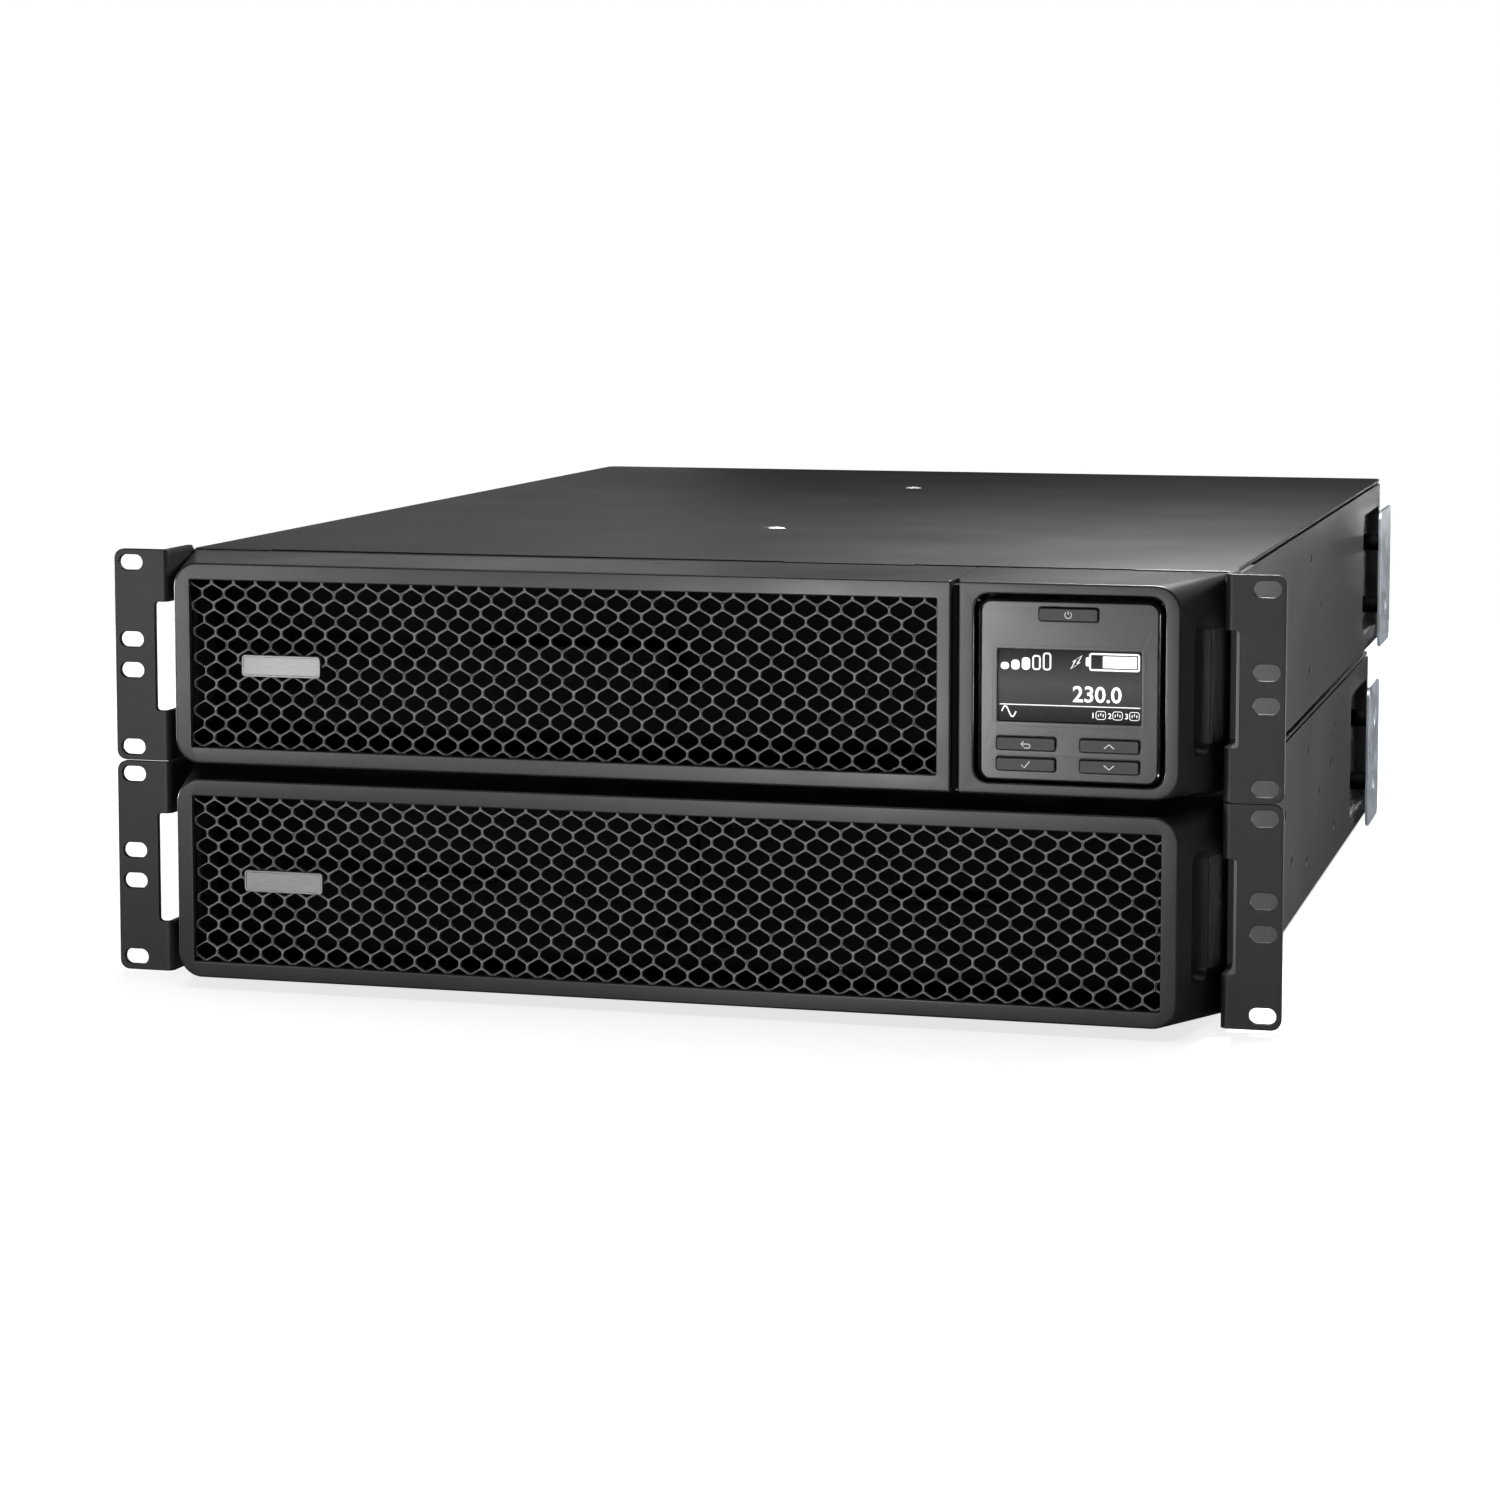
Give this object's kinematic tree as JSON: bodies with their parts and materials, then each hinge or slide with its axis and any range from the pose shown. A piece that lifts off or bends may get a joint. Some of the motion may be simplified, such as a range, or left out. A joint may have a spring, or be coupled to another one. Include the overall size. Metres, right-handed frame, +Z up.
{
  "type": "rackmount uninterruptible power supply with battery pack",
  "caption": "Flat rack-mount power supply on a matching battery pack, with honeycomb bezels, rack ears and a tilting display; keeps equipment powered.",
  "frame": {"origin": "middle of the base of the object's box, at the level of the lower unit's feet", "axes": "+X to the right of someone facing the front, +Y from the front bezels to the rear sockets, +Z up"},
  "size_m": [0.4796, 0.6396, 0.1759],
  "materials": {
    "powder_coat": "fine-grained near-black powder coat",
    "bezel_plastic": "fine spark-textured dark grey plastic",
    "grille_plastic": "satin dark grey plastic",
    "gloss_black": "polished black plastic",
    "faceplate_plastic": "satin mid grey plastic",
    "key_plastic": "matt grey plastic with a light icon",
    "lcd_screen": "dark screen with light segments",
    "clear_window": "clear hard-coated window",
    "badge_metal": "brushed and lacquered",
    "galvanised": "galvanised, faintly spangled",
    "aluminium": "extruded and mill finished",
    "circuit_board": "green solder mask",
    "winding": "lacquered copper winding on a steel core",
    "socket_plastic": "moulded black thermoplastic",
    "connector_grey": "moulded grey thermoplastic",
    "battery_case": "moulded black case",
    "fan_plastic": "glass-filled black plastic",
    "white_plastic": "moulded off-white plastic"
  },
  "bodies": {
    "chassis": {"ups_chassis": "powder_coat", "ups_top_cover": "powder_coat", "ups_ear_left": "powder_coat", "ups_ear_right": "powder_coat", "ups_rear_bracket_left": "galvanised", "ups_rear_bracket_right": "galvanised", "ups_rear_panel": "powder_coat", "display_bezel": "bezel_plastic", "battery_bay_wall": "galvanised", "power_board": "circuit_board", "heat_sink": "aluminium", "transformer": "winding", "fan_frame_left": "fan_plastic", "fan_frame_right": "fan_plastic", "inlet_connector": "socket_plastic", "outlet_block": "socket_plastic", "heavy_outlet_block": "socket_plastic", "card_slot_cover": "powder_coat", "comm_port_block": "socket_plastic", "ups_link_connector": "connector_grey", "pack_chassis": "powder_coat", "pack_top_cover": "powder_coat", "pack_ear_left": "powder_coat", "pack_ear_right": "powder_coat", "pack_rear_bracket_left": "galvanised", "pack_rear_bracket_right": "galvanised", "pack_rear_panel": "powder_coat", "pack_link_in": "connector_grey", "pack_link_out": "connector_grey", "pack_breaker_body": "socket_plastic"},
    "display": {"display_housing": "gloss_black", "display_faceplate": "faceplate_plastic", "lcd_window": "clear_window", "lcd_panel": "lcd_screen", "keypad_board": "circuit_board"},
    "display_release": {"display_release_button": "gloss_black"},
    "ups_battery": {"ups_battery_tray": "galvanised", "ups_battery_cells": "battery_case", "ups_battery_door": "powder_coat"},
    "ups_front": {"ups_battery_bezel": "bezel_plastic", "ups_grille": "grille_plastic", "ups_badge": "badge_metal"},
    "pack_battery_left": {"pack_tray_left": "galvanised", "pack_cells_left": "battery_case", "pack_door_left": "powder_coat"},
    "pack_battery_right": {"pack_tray_right": "galvanised", "pack_cells_right": "battery_case", "pack_door_right": "powder_coat"},
    "pack_front": {"pack_bezel": "bezel_plastic", "pack_grille": "grille_plastic", "pack_badge": "badge_metal"},
    "fan_left": {"fan_rotor_left": "fan_plastic"},
    "fan_right": {"fan_rotor_right": "fan_plastic"},
    "breaker_reset": {"breaker_reset_button": "white_plastic"},
    "pack_breaker_toggle": {"pack_breaker_lever": "white_plastic"},
    "power_button_cap": {"power_button": "key_plastic"},
    "escape_button_cap": {"escape_button": "key_plastic"},
    "ok_button_cap": {"ok_button": "key_plastic"},
    "up_button_cap": {"up_button": "key_plastic"},
    "down_button_cap": {"down_button": "key_plastic"}
  },
  "joints": [
    {"name": "display_tilt", "type": "hinge", "parent": "chassis", "child": "display", "pos_m": [0.161, -0.31535, 0.1657], "axis": [-1, 0, 0], "range_deg": [0, 30]},
    {"name": "power_press", "type": "slide", "parent": "display", "child": "power_button_cap", "axis": [0, 1, 0], "range_m": [0, 0.0008], "stiffness_N_per_m": 800, "springref_m": -0.001},
    {"name": "escape_press", "type": "slide", "parent": "display", "child": "escape_button_cap", "axis": [0, 1, 0], "range_m": [0, 0.0008], "stiffness_N_per_m": 800, "springref_m": -0.001},
    {"name": "ok_press", "type": "slide", "parent": "display", "child": "ok_button_cap", "axis": [0, 1, 0], "range_m": [0, 0.0008], "stiffness_N_per_m": 800, "springref_m": -0.001},
    {"name": "up_press", "type": "slide", "parent": "display", "child": "up_button_cap", "axis": [0, 1, 0], "range_m": [0, 0.0008], "stiffness_N_per_m": 800, "springref_m": -0.001},
    {"name": "down_press", "type": "slide", "parent": "display", "child": "down_button_cap", "axis": [0, 1, 0], "range_m": [0, 0.0008], "stiffness_N_per_m": 800, "springref_m": -0.001},
    {"name": "release_press", "type": "slide", "parent": "display", "child": "display_release", "axis": [0, 0, 1], "range_m": [0, 0.0015], "stiffness_N_per_m": 600, "springref_m": -0.001},
    {"name": "ups_battery_slide", "type": "slide", "parent": "chassis", "child": "ups_battery", "axis": [0, -1, 0], "range_m": [0, 0.35]},
    {"name": "ups_front_pull", "type": "slide", "parent": "chassis", "child": "ups_front", "axis": [0, -1, 0], "range_m": [0, 0.42]},
    {"name": "pack_left_slide", "type": "slide", "parent": "chassis", "child": "pack_battery_left", "axis": [0, -1, 0], "range_m": [0, 0.43]},
    {"name": "pack_right_slide", "type": "slide", "parent": "chassis", "child": "pack_battery_right", "axis": [0, -1, 0], "range_m": [0, 0.44]},
    {"name": "pack_front_pull", "type": "slide", "parent": "chassis", "child": "pack_front", "axis": [0, -1, 0], "range_m": [0, 0.5]},
    {"name": "fan_left_spin", "type": "hinge", "parent": "chassis", "child": "fan_left", "pos_m": [-0.16, 0.29865, 0.1325], "axis": [0, 1, 0], "continuous": true},
    {"name": "fan_right_spin", "type": "hinge", "parent": "chassis", "child": "fan_right", "pos_m": [-0.094, 0.29865, 0.1325], "axis": [0, 1, 0], "continuous": true},
    {"name": "breaker_reset_press", "type": "slide", "parent": "chassis", "child": "breaker_reset", "axis": [0, -1, 0], "range_m": [0, 0.003], "stiffness_N_per_m": 500, "springref_m": -0.001},
    {"name": "pack_breaker_throw", "type": "hinge", "parent": "chassis", "child": "pack_breaker_toggle", "pos_m": [0.114, 0.26165, 0.044], "axis": [1, 0, 0], "range_deg": [0, 48]}
  ],
  "couplings": [
    {"joint": "ups_front_pull", "follows": "ups_battery_slide", "ratio": 1.15},
    {"joint": "pack_right_slide", "follows": "pack_left_slide", "ratio": 1},
    {"joint": "pack_front_pull", "follows": "pack_left_slide", "ratio": 1.15}
  ]
}
